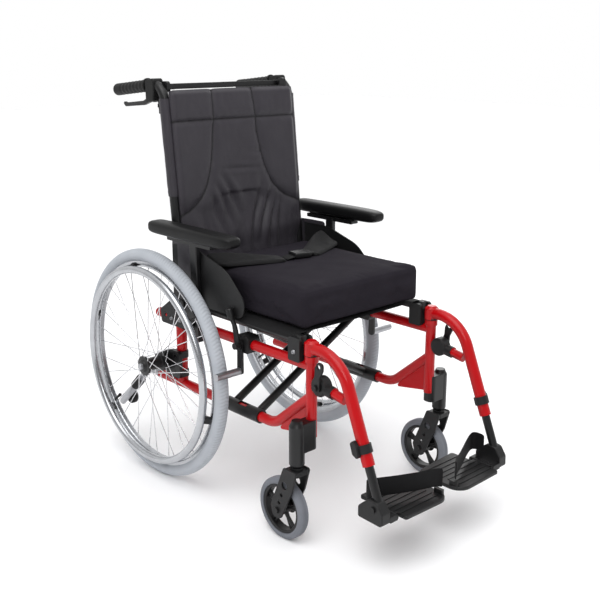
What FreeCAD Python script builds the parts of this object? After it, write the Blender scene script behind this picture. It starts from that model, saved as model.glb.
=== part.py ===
import FreeCAD, Part
import math
import os

from FreeCAD import Placement, Rotation, Vector

# Manual folding wheelchair with swing-away footrests.
# Units are millimetres.  +Z is up, -Y is the way the sitter faces and +X is the sitter's left.
# Heights are taken from the floor and y values from the rear axle, which lies axle_y behind
# the origin.  The right side (negative x) is modelled and the left side mirrors it.
# Both ends of the caster trail, the brace and the footrest hinge are set by the sizes below.

SIZES = {
    "axle_y": 245.9,
    # side frame
    "frame_half": 207,
    "rail_radius": 12.5,
    "rear_upright_radius": 14,
    "upper_rail_height": 424,
    "lower_rail_height": 248,
    "rail_rear_y": 52,
    "front_upright_y": -540,
    "rear_upright_y": -45,
    "upright_foot": 254,
    "upright_top": 448,
    "socket_radius": 10.5,
    "socket_depth": 70,
    # cross brace and seat
    "arm_radius": 10,
    "seat_rail_height": 477,
    "seat_rail_front": -515,
    "seat_rail_rear": -92,
    "sleeve_radius": 17,
    "sleeve_length": 130,
    "brace_middle_y": -300,
    "cushion_half": 204,
    "cushion_front": -510,
    "cushion_rear": -70,
    "cushion_base": 494.5,
    "cushion_top": 590,
    # back
    "post_half": 205,
    "post_radius": 12.5,
    "grip_radius": 15.5,
    # rear wheel
    "wheel_half": 267,
    "wheel_radius": 305,
    "tyre_radius": 17.5,
    "rim_radius": 276,
    "rim_bed": 258,
    "handrim_half": 297.6,
    "handrim_ring": 254.5,
    "handrim_radius": 9.8,
    "flange_radius": 26,
    "axle_radius": 6,
    "spoke_radius": 1.1,
    # caster
    "caster_half": 252,
    "caster_radius": 75,
    "caster_width": 28,
    "caster_bed": 60,
    "caster_trail": 44.5,
    "stem_radius": 8,
    "fork_top": 190,
    # footrest
    "hanger_radius": 14,
    "extension_radius": 10,
    "flip_half": 176,
    "flip_height": 132,
    "plate_inner": 18,
    # armrest
    "armrest_post_half": 233,
    "armrest_y": -150,
    "pad_half": 248,
    "pad_width": 52,
    "pad_base": 655,
    "pad_top": 688,
    # anti-tipper
    "tipper_radius": 10,
    "tipper_wheel_radius": 22,
}

doc = FreeCAD.newDocument("Wheelchair")
sheet = doc.addObject("Spreadsheet::Sheet", "Sheet")


class Size:
    """A number together with the sheet expression that gives it."""

    def __init__(self, value, text):
        self.value = float(value)
        self.text = text

    def __float__(self):
        return self.value

    def __add__(self, other):
        other = as_size(other)
        return Size(self.value + other.value, f"({self.text} + {other.text})")

    def __sub__(self, other):
        other = as_size(other)
        return Size(self.value - other.value, f"({self.text} - {other.text})")

    def __mul__(self, other):
        other = as_size(other)
        return Size(self.value * other.value, f"({self.text} * {other.text})")

    def __neg__(self):
        return Size(-self.value, f"(-1 * {self.text})")

    __radd__ = __add__
    __rmul__ = __mul__

    def __rsub__(self, other):
        return as_size(other) - self


def as_size(number):
    if isinstance(number, Size):
        return number
    return Size(number, f"({float(number):.6f})")


class Names:
    """Holds one Size for each alias of the sheet."""


size = Names()
for row, (alias, number) in enumerate(SIZES.items(), start=1):
    sheet.set(f"A{row}", alias)
    sheet.set(f"B{row}", str(number))
    sheet.setAlias(f"B{row}", alias)
    setattr(size, alias, Size(number, f"Sheet.{alias}"))
doc.recompute()

X = Vector(1, 0, 0)
Y = Vector(0, 1, 0)
Z = Vector(0, 0, 1)
NO_TURN = Rotation()
# A sketch turned this way has its own x along +Y and its own y along +Z.
SIDE_VIEW = Rotation(Y, Z, X, "XYZ")


# ---------------------------------------------------------------- building blocks

def bind(item, name, value):
    """Set a property, and tie it to the sheet when the value came from there."""
    if isinstance(value, Size):
        setattr(item, name, value.value)
        item.setExpression(name, value.text)
    else:
        setattr(item, name, value)


def place(item, point, turn=NO_TURN):
    """Put an object at a point whose y counts from the rear axle."""
    x, y, z = point
    spot = (x, size.axle_y + y, z)
    item.Placement = Placement(Vector(*(float(c) for c in spot)), turn)
    for letter, value in zip("xyz", spot):
        if isinstance(value, Size):
            item.setExpression(f".Placement.Base.{letter}", value.text)
    return item


def along(direction):
    return Rotation(Z, Vector(*direction))


def cylinder(point, direction, radius, height):
    item = doc.addObject("Part::Cylinder", "Cylinder")
    bind(item, "Radius", radius)
    bind(item, "Height", height)
    return place(item, point, along(direction))


def rod(start, end, radius):
    """A round bar from one point to another."""
    way = [float(b) - float(a) for a, b in zip(start, end)]
    return cylinder(start, way, radius, math.hypot(*way))


def box(low, high):
    """A block between two corners."""
    item = doc.addObject("Part::Box", "Block")
    for name, a, b in zip(("Length", "Width", "Height"), low, high):
        bind(item, name, as_size(b) - as_size(a))
    return place(item, low)


def ball(point, radius):
    item = doc.addObject("Part::Sphere", "Ball")
    bind(item, "Radius", radius)
    return place(item, point)


def ring(point, direction, large, small):
    item = doc.addObject("Part::Torus", "Ring")
    bind(item, "Radius1", large)
    bind(item, "Radius2", small)
    return place(item, point, along(direction))


def fuse(*items):
    item = doc.addObject("Part::MultiFuse", "Union")
    item.Shapes = list(items)
    item.Refine = True
    return item


def cut(base, *tools):
    item = doc.addObject("Part::Cut", "Cut")
    item.Base = base
    item.Tool = tools[0] if len(tools) == 1 else fuse(*tools)
    return item


def group(*items):
    """Separate solids kept in one sub-part."""
    item = doc.addObject("Part::Compound", "Group")
    item.Links = list(items)
    return item


def outline(points, closed):
    """Lines and arcs through points (u, v) or (u, v, corner radius)."""
    flat = [tuple(float(c) for c in p) + (0.0,) * (3 - len(p)) for p in points]
    stops = []
    for i, (u, v, radius) in enumerate(flat):
        here = Vector(u, v, 0)
        ends = not closed and i in (0, len(flat) - 1)
        if radius == 0 or ends:
            stops.append((here, here, None))
            continue
        before = Vector(*flat[i - 1][:2], 0) - here
        after = Vector(*flat[(i + 1) % len(flat)][:2], 0) - here
        before.normalize()
        after.normalize()
        half = before.getAngle(after) / 2
        reach = radius / math.tan(half)
        middle = before + after
        middle.normalize()
        crown = here + middle * (radius / math.sin(half) - radius)
        stops.append((here + before * reach, here + after * reach, crown))
    shapes = []
    for i, (enter, leave, crown) in enumerate(stops):
        if crown is not None:
            shapes.append(Part.Arc(enter, crown, leave))
        if closed or i < len(stops) - 1:
            onward = stops[(i + 1) % len(stops)][0]
            if (onward - leave).Length > 0.001:
                shapes.append(Part.LineSegment(leave, onward))
    return shapes


def tube(x, points, radius):
    """A bent round tube in a plane of constant x, through (y, z, bend radius) points."""
    spine = doc.addObject("Sketcher::SketchObject", "Route")
    spine.addGeometry(outline(points, False), False)
    place(spine, (x, 0, 0), SIDE_VIEW)
    (y0, z0), (y1, z1) = points[0][:2], points[1][:2]
    profile = doc.addObject("Part::Circle", "Profile")
    bind(profile, "Radius", radius)
    way = (0, float(y1) - float(y0), float(z1) - float(z0))
    place(profile, (x, y0, z0), along(way))
    item = doc.addObject("Part::Sweep", "Tube")
    item.Sections = [profile]
    item.Spine = (spine, [])
    item.Solid = True
    return item


def find_plane(body, role):
    return next(f for f in body.Origin.OriginFeatures if f.Role == role)


def padded(view, points, thickness, point, holes=(), edge=0):
    """A plate of a rounded outline with round holes (u, v, radius) and softened rims.

    view is "side" (outline in y, z, thickness along +X), "top" (x, y, up) or
    "front" (x, z, towards +Y).
    """
    body = doc.addObject("PartDesign::Body", "Plate")
    sketch = body.newObject("Sketcher::SketchObject", "Outline")
    sketch.AttachmentSupport = [(find_plane(body, "XY_Plane"), "")]
    sketch.MapMode = "FlatFace"
    sketch.addGeometry(outline(points, True), False)
    for u, v, radius in holes:
        sketch.addGeometry(Part.Circle(Vector(float(u), float(v), 0), Z, float(radius)), False)
    pad = body.newObject("PartDesign::Pad", "Thickness")
    pad.Profile = sketch
    bind(pad, "Length", thickness)
    if edge:
        doc.recompute()
        caps = [
            f"Face{i}"
            for i, face in enumerate(pad.Shape.Faces, start=1)
            if abs(face.normalAt(0, 0).z) > 0.99
        ]
        softened = body.newObject("PartDesign::Fillet", "Softened")
        softened.Base = (pad, caps)
        softened.Radius = edge
        body.Tip = softened
    turns = {
        "side": SIDE_VIEW,
        "top": NO_TURN,
        "front": Rotation(X, Z, -Y, "XYZ"),
    }
    return place(body, point, turns[view])


def turned(point, direction, profile):
    """A solid turned about an axis, from (distance along it, radius) points."""
    body = doc.addObject("PartDesign::Body", "Turned")
    sketch = body.newObject("Sketcher::SketchObject", "Profile")
    sketch.AttachmentSupport = [(find_plane(body, "XY_Plane"), "")]
    sketch.MapMode = "FlatFace"
    sketch.addGeometry(outline(profile, True), False)
    feature = body.newObject("PartDesign::Revolution", "Revolved")
    feature.Profile = sketch
    feature.ReferenceAxis = (sketch, ["H_Axis"])
    feature.Angle = 360
    return place(body, point, Rotation(X, Vector(*direction)))


subparts = []


def subpart(label, item):
    item.Label = label
    subparts.append(item)
    return item


def right(label, item):
    """Keep a right-hand sub-part and its mirrored twin on the left."""
    subpart(f"right_{label}", item)
    twin = doc.addObject("Part::Mirroring", "Twin")
    twin.Source = item
    twin.Normal = X
    subpart(f"left_{label}", twin)


def polar(angle, radius):
    """A (y, z) offset at an angle in degrees from +Y."""
    turn = math.radians(angle)
    return radius * math.cos(turn), radius * math.sin(turn)


# ---------------------------------------------------------------- side frame

plane = -size.frame_half
front_y = size.front_upright_y
rear_y = size.rear_upright_y
upper_z = size.upper_rail_height
lower_z = size.lower_rail_height
rail_r = size.rail_radius


def side_frame():
    """Two rails and two uprights, with a socket in the lower rail's rear end."""
    reach = size.rail_rear_y - front_y + 6
    upper = turned((plane, front_y, upper_z), (0, 1, 0), [(0, 0), (0, rail_r), (reach, rail_r, 6), (reach, 0)])
    rise = tube(
        plane,
        [(size.rail_rear_y + 3, lower_z), (-417, lower_z, 70), (front_y, 351)],
        rail_r,
    )
    post = cylinder(
        (plane, front_y, size.upright_foot), (0, 0, 1), rail_r + 0.4,
        size.upright_top - size.upright_foot,
    )
    collar = cylinder((plane, front_y, size.upright_top - 14), (0, 0, 1), 16, 14)
    rear = cylinder((plane, rear_y, lower_z), (0, 0, 1), size.rear_upright_radius, upper_z - lower_z)
    web = padded(
        "side",
        [(-432, 240, 4), (-528, 256, 4), (front_y, 262), (front_y, 340), (-470, 288, 12)],
        6,
        (plane - 3, 0, 0),
    )
    whole = fuse(upper, rise, post, collar, rear, web)
    socket = cylinder(
        (plane, size.rail_rear_y + 3 - size.socket_depth, lower_z), (0, 1, 0),
        size.socket_radius, size.socket_depth + 1,
    )
    pivot = cylinder((plane, front_y, size.upright_top - 55), (0, 0, 1), size.stem_radius + 0.4, 56)
    return cut(whole, socket, pivot)


right("side_frame", side_frame())


def caster_housing():
    """The upright barrel that holds the caster's stem, clamped to the front upright."""
    x = -size.caster_half
    barrel = turned(
        (x, front_y, 0), (0, 0, 1),
        [(196, 0), (196, 15), (201, 18), (292, 18), (300, 14), (306, 12), (306, 0)],
    )
    clamp = padded(
        "top", [(-26, -17, 6), (26, -17, 14), (26, 17, 14), (-26, 17, 6)], 70, (x + 26, front_y, 228), edge=2
    )
    stem_hole = cylinder((x, front_y, 195), (0, 0, 1), size.stem_radius + 0.4, 92)
    return cut(fuse(barrel, clamp), stem_hole)


right("caster_housing", caster_housing())


def axle_plate():
    """The clamp on the rear upright and the sleeve that takes the wheel's axle."""
    axle_z = size.wheel_radius
    plate = padded(
        "side",
        [(-64, 268, 8), (-26, 268, 8), (22, 284, 18), (22, 326, 18), (-26, 342, 8), (-64, 342, 8)],
        10,
        (plane - 24, 0, 0),
        holes=[(-45, 282, 4), (-45, 328, 4)],
    )
    clamps = [
        padded(
            "top",
            [(-16, -18, 5), (16, -18, 12), (16, 18, 12), (-16, 18, 5)],
            18,
            (plane - 3, rear_y, z),
        )
        for z in (270, 322)
    ]
    sleeve = cylinder((plane - 30, 0, axle_z), (1, 0, 0), 18, 37)
    nut = cylinder((plane + 5, 0, axle_z), (1, 0, 0), 13, 6)
    hole = cylinder((plane - 31, 0, axle_z), (1, 0, 0), size.axle_radius + 0.35, 50)
    return cut(fuse(plate, sleeve, nut, *clamps), hole)


right("axle_plate", axle_plate())


def saddle(rear, front, low):
    """A cradle on the upper rail that the seat rail drops into."""
    top = size.seat_rail_height + 9
    block = padded(
        "side",
        [(front, low, 5), (rear, low, 5), (rear, top, 8), (front, top, 8)],
        42,
        (plane - 21, 0, 0),
    )
    trough = cylinder((plane, front - 1, size.seat_rail_height), (0, 1, 0), rail_r + 0.7, rear - front + 2)
    mouth = box(
        (plane - rail_r - 0.7, front - 1, size.seat_rail_height),
        (plane + rail_r + 0.7, rear + 1, top + 1),
    )
    return cut(block, trough, mouth)


def brake_bracket():
    """The clamp on the upper rail with the two pins that the parking brake turns on."""
    clamp = padded(
        "side",
        [(-342, 404, 8), (-292, 404, 8), (-292, 446, 10), (-342, 446, 10)],
        34,
        (plane - 18, 0, 0),
    )
    pin = cylinder((plane - 38, -317, 424), (1, 0, 0), 5, 24)
    head = cylinder((plane - 42, -317, 424), (1, 0, 0), 8, 4)
    return fuse(clamp, pin, head)


def armrest_socket():
    """The square holder on the outside of the upper rail."""
    post_x = -size.armrest_post_half
    y = size.armrest_y
    block = padded(
        "side",
        [(y - 20, 396, 5), (y + 20, 396, 5), (y + 20, 463, 5), (y - 20, 463, 5)],
        30,
        (post_x - 12, 0, 0),
    )
    hole = box((post_x - 7.6, y - 14, 395), (post_x + 7.6, y + 14, 471))
    knob = turned((post_x - 12, y, 440), (-1, 0, 0), [(0, 0), (0, 5), (4, 5), (4, 9), (9, 9, 2), (9, 0)])
    return fuse(cut(block, hole), knob)


def back_bracket():
    """The cast clamp that joins the back post to the rear end of the upper rail."""
    return padded(
        "side",
        [(-84, 404, 8), (26, 404, 8), (30, 440, 8), (-30, 482, 14), (-76, 484, 10)],
        30,
        (plane - 14, 0, 0),
        holes=[(4, 428, 4)],
        edge=3,
    )


right(
    "rail_brackets",
    group(
        saddle(-484, -522, 430),
        saddle(-96, -124, 430),
        brake_bracket(),
        armrest_socket(),
        back_bracket(),
    ),
)


# ---------------------------------------------------------------- back and push handle

post_x = -size.post_half
HANDLE_CORNER = (-2, 1021)
HANDLE_END = (208, 999.5)


def handle_point(y):
    """A (y, z) point on the push handle's axis."""
    slope = (HANDLE_END[1] - HANDLE_CORNER[1]) / (HANDLE_END[0] - HANDLE_CORNER[0])
    return y, HANDLE_CORNER[1] + (y - HANDLE_CORNER[0]) * slope


def back_post():
    """The leaning post, bent back at the top into the push handle."""
    post = tube(post_x, [(-63, 440), (*HANDLE_CORNER, 45), HANDLE_END], size.post_radius)
    lug = padded(
        "side", [(-6, 1000, 4), (18, 1000, 4), (18, 1026, 8), (-6, 1026, 8)], 10, (post_x + 8, 0, 0)
    )
    pin = cylinder((post_x + 27, -2, 1013), (0, 1, 0), 3, 20)
    ear = box((post_x + 16, -6, 1006), (post_x + 31, -2, 1020))
    return fuse(post, lug, ear, pin)


right("back_post", back_post())


def handle_grip():
    """The rubber grip, and the clamp that carries the attendant's brake lever."""
    start = handle_point(62)
    way = (0, HANDLE_END[0] - HANDLE_CORNER[0], HANDLE_END[1] - HANDLE_CORNER[1])
    r = size.grip_radius
    ribs = []
    for i in range(7):
        ribs += [(14 + 16 * i, r - 1.2), (22 + 16 * i, r)]
    grip = turned(
        (post_x, *start), way,
        [(0, 0), (0, r + 3, 2), (6, r + 3, 2), (8, r), *ribs, (146, r, 6), (152, r - 7, 5), (152, 0)],
    )
    clamp = padded(
        "side",
        [(20, 1000, 6), (24, 978, 6), (56, 972, 6), (57, 1028, 8), (22, 1034, 8)],
        32,
        (post_x - 16, 0, 0),
        edge=3,
    )
    slot = box((post_x - 4.6, 30, 960), (post_x + 4.6, 70, 996))
    pin = cylinder((post_x - 10, 43, 985), (1, 0, 0), 2.5, 20)
    adjuster = turned(
        (post_x + 10, 30, 982), (0, 0, -1),
        [(0, 0), (0, 5), (12, 5), (12, 6.5), (20, 6.5), (22, 4), (36, 3.5), (36, 0)],
    )
    return group(grip, fuse(cut(clamp, slot), pin, adjuster))


right("handle_grip", handle_grip())


def hand_lever():
    """The attendant's brake lever, hinged in the clamp under the handle."""
    return padded(
        "side",
        [
            (34, 990, 5), (52, 991, 6), (84, 976, 30), (166, 968, 8), (176, 972, 4),
            (177, 964, 4), (168, 958, 5), (82, 965, 30), (50, 975, 8), (36, 977, 5),
        ],
        8,
        (post_x - 4, 0, 0),
        holes=[(43, 985, 2.8)],
        edge=1,
    )


right("hand_lever", hand_lever())


# ---------------------------------------------------------------- rear wheel

wheel_x = -size.wheel_half
hub_z = size.wheel_radius

right(
    "tyre",
    ring((wheel_x, 0, hub_z), (1, 0, 0), size.wheel_radius - size.tyre_radius, size.tyre_radius),
)


def rim():
    """A box-section rim."""
    deep, top = size.rim_bed, size.rim_radius
    return turned(
        (wheel_x, 0, hub_z), (1, 0, 0),
        [(-7, deep, 4), (7, deep, 4), (11, deep + 8, 3), (11, top, 1.5), (-11, top, 1.5), (-11, deep + 8, 3)],
    )


right("rim", rim())

SPOKES = 36
SPOKE_LEAD = 60


def spokes():
    """Crossed spokes, half on each flange of the hub."""
    items = []
    for i in range(SPOKES):
        outer = 1 if i % 2 else -1
        lead = SPOKE_LEAD if (i // 2) % 2 else -SPOKE_LEAD
        stagger = 1.6 if lead > 0 else -1.6
        angle = 360 * i / SPOKES
        y0, z0 = polar(angle - lead, size.flange_radius - 4)
        y1, z1 = polar(angle, size.rim_bed + 2)
        hub_x = wheel_x - 4 - 26 * outer + stagger
        rim_x = wheel_x - 3 * outer + stagger
        items.append(rod((hub_x, y0, hub_z + z0), (rim_x, y1, hub_z + z1), size.spoke_radius))
    return group(*items)


right("spokes", spokes())


def hub():
    """The hub barrel with two flanges and the quick-release axle."""
    flange = size.flange_radius
    axle = size.axle_radius
    return turned(
        (wheel_x, 0, hub_z), (-1, 0, 0),
        [
            (-74, 0), (-74, axle - 1.5), (-72, axle), (-26, axle), (-26, 20), (-25, flange, 1),
            (-19, flange, 1), (-17, 17, 2), (25, 17, 2), (27, flange, 1), (33, flange, 1),
            (34, 18, 2), (39, 14, 2), (39, 9), (46, 8, 2), (46, 0),
        ],
    )


right("hub", hub())

HANDRIM_TABS = 6


def handrim():
    """The push ring and the tabs that hold it to the rim."""
    hoop = ring((-size.handrim_half, 0, hub_z), (1, 0, 0), size.handrim_ring, size.handrim_radius)
    tabs = []
    for i in range(HANDRIM_TABS):
        angle = 360 * i / HANDRIM_TABS + 18
        y, z = polar(angle, 1)
        tab = padded(
            "front",
            [(-31, 248, 3), (-20, 248, 8), (-9, 259, 2), (-9, 272, 2), (-31, 257, 8)],
            16,
            (0, 0, 0),
        )
        turn = Rotation(X, angle - 90)
        base = turn.multVec(Vector(0, 8, 0))
        place(tab, (wheel_x, base.y, hub_z + base.z), turn.multiply(Rotation(X, Z, -Y, "XYZ")))
        tabs.append(tab)
    return fuse(hoop, *tabs)


right("handrim", handrim())


# ---------------------------------------------------------------- caster

caster_x = -size.caster_half
caster_y = size.front_upright_y + size.caster_trail
caster_z = size.caster_radius


def caster_fork():
    """Two slotted legs under a crown, with the stem and the wheel's bolt."""
    legs = [
        padded(
            "side",
            [
                (-562, size.fork_top, 6), (-518, size.fork_top, 6), (-502, 150, 20), (-474, 84, 12),
                (-482, 56, 12), (-508, 56, 14), (-546, 134, 16),
            ],
            5.5,
            (caster_x + side, 0, 0),
            holes=[(-495.5, 75, 3), (-503.5, 97, 4.5), (-512, 119, 4.5), (-522, 146, 9)],
            edge=1.2,
        )
        for side in (-23, 17.5)
    ]
    crown = padded(
        "top",
        [(-21, -20, 8), (21, -20, 8), (21, 20, 8), (-21, 20, 8)],
        12,
        (caster_x, front_y, size.fork_top - 14),
    )
    washer = cylinder((caster_x, front_y, size.fork_top - 3), (0, 0, 1), 15, 7)
    stem = cylinder((caster_x, front_y, size.fork_top - 4), (0, 0, 1), size.stem_radius, 96)
    bolt = cylinder((caster_x - 27, caster_y, caster_z), (1, 0, 0), 4, 54)
    heads = [
        cylinder((caster_x + x, caster_y, caster_z), (1, 0, 0), 7.5, 4.5) for x in (-27.5, 22.8)
    ]
    return fuse(*legs, crown, washer, stem, bolt, *heads)


right("caster_fork", caster_fork())


def caster_wheel():
    """The moulded core: rim, spokes and hub."""
    half = size.caster_width * 0.5 - 3
    bed = size.caster_bed
    rim_ring = turned(
        (caster_x, caster_y, caster_z), (1, 0, 0),
        [(-half, bed - 8, 2), (half, bed - 8, 2), (half, bed, 1), (-half, bed, 1)],
    )
    core = turned(
        (caster_x, caster_y, caster_z), (1, 0, 0),
        [(-16, 4.4), (16, 4.4), (16, 11, 1), (11, 15, 2), (-11, 15, 2), (-16, 11, 1)],
    )
    arms = []
    for i in range(5):
        y, z = polar(72 * i + 90, 12)
        v, w = polar(72 * i + 90, 54)
        for spread in (-6, 6):
            p, q = polar(72 * i, spread)
            arms.append(
                rod(
                    (caster_x, caster_y + y - p * 0.4, caster_z + z - q * 0.4),
                    (caster_x, caster_y + v + p, caster_z + w + q),
                    4.5,
                )
            )
    return fuse(rim_ring, core, *arms)


right("caster_wheel", caster_wheel())


def caster_tyre():
    half = size.caster_width * 0.5
    bed, top = size.caster_bed, size.caster_radius
    return turned(
        (caster_x, caster_y, caster_z), (1, 0, 0),
        [(-half + 1, bed, 1), (half - 1, bed, 1), (half, bed + 6, 5), (half - 4, top, 7),
         (-half + 4, top, 7), (-half, bed + 6, 5)],
    )


right("caster_tyre", caster_tyre())


# ---------------------------------------------------------------- footrest

HANGER_TOP_Z = 466
HANGER_END = (-719, 244)
EXTENSION_END = (-757, 150)


def on_hanger(z):
    """A (y, z) point on the lower run of the hanger's axis."""
    slope = (EXTENSION_END[0] - HANGER_END[0]) / (EXTENSION_END[1] - HANGER_END[1])
    return HANGER_END[0] + (z - HANGER_END[1]) * slope, z


def run(x, z0, z1, radius):
    """A rod along the hanger's lower run, between two heights."""
    return rod((x, *on_hanger(z0)), (x, *on_hanger(z1)), radius)


def hanger():
    """The swing-away tube, its pivot, its latch and the height clip."""
    bent = tube(
        plane,
        [(-540, HANGER_TOP_Z), (-630, HANGER_TOP_Z, 100), on_hanger(244)],
        size.hanger_radius,
    )
    boss = turned(
        (plane, front_y, 0), (0, 0, 1),
        [(398, 0), (398, 7), (400, 8), (449, 8), (449, 17, 1), (452, 17), (478, 17), (484, 10), (484, 0)],
    )
    stub = rod((plane, -646, 372), (plane, -596, 380), 11)
    bore = rod((plane, *on_hanger(346)), (plane, *on_hanger(240)), size.extension_radius + 0.4)
    frame = cut(fuse(bent, boss, stub), bore)
    housing = turned(
        (plane - 14, -573, 385), (1, 0, 0),
        [(0, 0), (0, 18, 2), (3, 23, 2), (25, 23, 2), (28, 18, 2), (28, 0)],
    )
    sleeve = rod((plane, -612, 377.4), (plane, -580, 382.5), 14)
    clearance = cylinder((plane, front_y, 350), (0, 0, 1), rail_r + 1.2, 70)
    stub_room = rod((plane, -620, 376.2), (plane, -590, 380.9), 11.1)
    pin = cylinder((plane - 23, -573, 385), (1, 0, 0), 4, 15)
    pin_head = cylinder((plane - 25.5, -573, 385), (1, 0, 0), 7, 3)
    latch = cut(fuse(housing, sleeve, pin, pin_head), clearance, stub_room)
    clip = cut(
        fuse(
            run(plane, 288, 270, 17.5),
            padded(
                "side",
                [(-712, 258, 5), (-692, 268, 4), (-684, 292, 5), (-692, 300, 4), (-704, 288, 4)],
                12,
                (plane - 25, 0, 0),
                edge=1.5,
            ),
        ),
        run(plane, 300, 255, size.hanger_radius + 0.1),
    )
    return group(frame, latch, clip)


right("hanger", hanger())


def release_lever():
    """The curved lever that frees the hanger, with a loop at its end."""
    return padded(
        "side",
        [
            (-584, 376, 8), (-564, 374, 8), (-560, 392, 10), (-570, 412, 20), (-571, 432, 8),
            (-579, 447, 8), (-596, 445, 8), (-595, 428, 8), (-586, 410, 20),
        ],
        6,
        (plane - 21, 0, 0),
        holes=[(-583, 436, 5), (-573, 385, 4.4)],
        edge=1.5,
    )


right("release_lever", release_lever())


def footrest_tube():
    """The extension tube and the hinge block at its foot."""
    stem = run(plane, 322, 150, size.extension_radius)
    block = padded(
        "side",
        [
            (-776, 128, 8), (-775, 152, 10), (-760, 174, 10), (-736, 177, 8), (-716, 162, 10),
            (-703, 150, 8), (-703, 124, 6), (-768, 122, 8),
        ],
        27,
        (plane - 16, 0, 0),
        edge=3,
    )
    cap = cylinder((plane - 20, -748, 156), (1, 0, 0), 7, 5)
    ears = [
        padded(
            "front",
            [(-size.flip_half - 22, 125, 3), (-size.flip_half + 5, 125, 5),
             (-size.flip_half + 5, 139, 5), (-size.flip_half - 22, 139, 3)],
            10,
            (0, y + 10, 0),
        )
        for y in (-776, -713)
    ]
    pin = cylinder((-size.flip_half, -772, size.flip_height), (0, 1, 0), 3, 66)
    return fuse(stem, block, cap, pin, *ears)


right("footrest_tube", footrest_tube())


def footplate():
    """The plate, hinged at its outer side so that it folds up."""
    pivot = -size.flip_half
    inner = -size.plate_inner
    plate = padded(
        "top",
        [
            (pivot - 3, -765, 2), (pivot + 10, -765, 2), (pivot + 10, -794, 6), (inner, -798, 34),
            (inner, -664, 26), (pivot + 10, -654, 8), (pivot + 10, -714, 2), (pivot - 3, -714, 2),
        ],
        9,
        (0, 0, 128),
        edge=2.5,
    )
    knuckle = cylinder((pivot, -765, size.flip_height), (0, 1, 0), 7, 51)
    lug = padded(
        "top", [(inner - 14, -782, 2), (inner - 5, -782, 2), (inner - 5, -758, 2), (inner - 14, -758, 2)],
        12, (0, 0, 136),
    )
    ribs = [
        box((pivot + 10, y, 136), (inner - 22, y + 3, 138.5)) for y in range(-776, -676, 16)
    ]
    hole = cylinder((pivot, -766, size.flip_height), (0, 1, 0), 3.3, 53)
    return cut(fuse(plate, knuckle, lug, *ribs), hole)


right("footplate", footplate())


def heel_strap():
    """The webbing behind the heel, from the tube slanting forward to the plate's inner lug."""
    reach = plane + 12
    inner = -size.plate_inner - 9
    points = [
        (reach, -728), (reach, -694, 16), (inner, -770),
        (inner - 1, -772.2), (reach + 2.4, -697.7, 13.6), (reach + 2.4, -728),
    ]
    return padded("top", points, 46, (0, 0, 152))


right("heel_strap", heel_strap())


# ---------------------------------------------------------------- parking brake

BRAKE_PIVOT = (-317, 424)


def brake_lever():
    """The hand lever of the parking brake, in the plane just outside the guard."""
    y, z = BRAKE_PIVOT
    blade = padded(
        "side",
        [(y - 10, z - 12, 8), (y + 10, z - 12, 8), (y + 20, z + 46, 20), (y + 32, z + 62, 4), (y + 22, z + 68, 4),
         (y + 6, z + 46, 20)],
        5,
        (plane - 31, 0, 0),
        holes=[(y, z, 5.4)],
    )
    knob = turned(
        (plane - 28.5, y + 24, z + 58), (0, 0.4, 1),
        [(0, 0), (0, 7, 2), (8, 9, 3), (26, 9, 6), (30, 4, 3), (30, 0)],
    )
    return fuse(blade, knob)


right("brake_lever", brake_lever())


def brake_shoe():
    """The arm and the cross rod that presses on the tyre."""
    y, z = BRAKE_PIVOT
    arm = padded(
        "side",
        [(y - 9, z + 9, 8), (y + 9, z + 9, 8), (y + 11, z - 74, 8), (y - 9, z - 74, 8)],
        5,
        (plane - 25.5, 0, 0),
        holes=[(y, z, 5.4)],
    )
    shoe = turned(
        (plane - 22, y + 2, z - 66), (-1, 0, 0),
        [(0, 0), (0, 9, 1), (76, 9, 2), (76, 0)],
    )
    return fuse(arm, shoe)


right("brake_shoe", brake_shoe())


# ---------------------------------------------------------------- armrest

arm_x = -size.armrest_post_half
arm_y = size.armrest_y


def armrest_post():
    """The flat post and the bar under the pad."""
    post = padded(
        "top",
        [(-7, -13.5, 3), (7, -13.5, 3), (7, 13.5, 3), (-7, 13.5, 3)],
        size.pad_base - 405,
        (arm_x, arm_y, 402),
    )
    bar = padded(
        "side",
        [(-236, 644, 3), (-60, 644, 3), (-60, size.pad_base - 0.5, 3), (-236, size.pad_base - 0.5, 3)],
        24,
        (-size.pad_half - 4, 0, 0),
    )
    return fuse(post, bar)


right("armrest_post", armrest_post())


def armrest_pad():
    """The moulded pad, drawn out to a slim tip at the front."""
    half = size.pad_width * 0.5
    pad = padded(
        "top",
        [
            (-half, -262, 60), (-half + 9, -325, 16), (half - 9, -325, 16),
            (half, -262, 60), (half, -2, 22), (-half, -2, 22),
        ],
        size.pad_top - size.pad_base,
        (-size.pad_half, 0, size.pad_base),
        edge=9,
    )
    return pad


right("armrest_pad", armrest_pad())


def side_guard():
    """The clothes guard between the sitter and the wheel."""
    return padded(
        "side",
        [
            (-42, 488, 8), (-318, 486, 24), (-334, 526, 34), (-262, 594, 100),
            (-150, 628, 120), (-44, 628, 10),
        ],
        3,
        (plane - 18.5, 0, 0),
    )


right("side_guard", side_guard())


def back_bar(side, y):
    """One half of the bar that braces the push handles, hinged at its post."""
    inward = -side
    hinge = side * (size.post_half - 27)
    tip = 22 * inward
    low, high = sorted((float(hinge) - 7 * inward, tip))
    bar = padded(
        "front",
        [(low, 1006, 6.5), (high, 1006, 6.5), (high, 1020, 6.5), (low, 1020, 6.5)],
        5,
        (0, y + 5, 0),
        holes=[(hinge, 1013, 3.3)],
        edge=1.5,
    )
    return bar


subpart("right_back_bar", back_bar(-1, 0))
subpart("left_back_bar", back_bar(1, 6))


# ---------------------------------------------------------------- cross brace and seat

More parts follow.
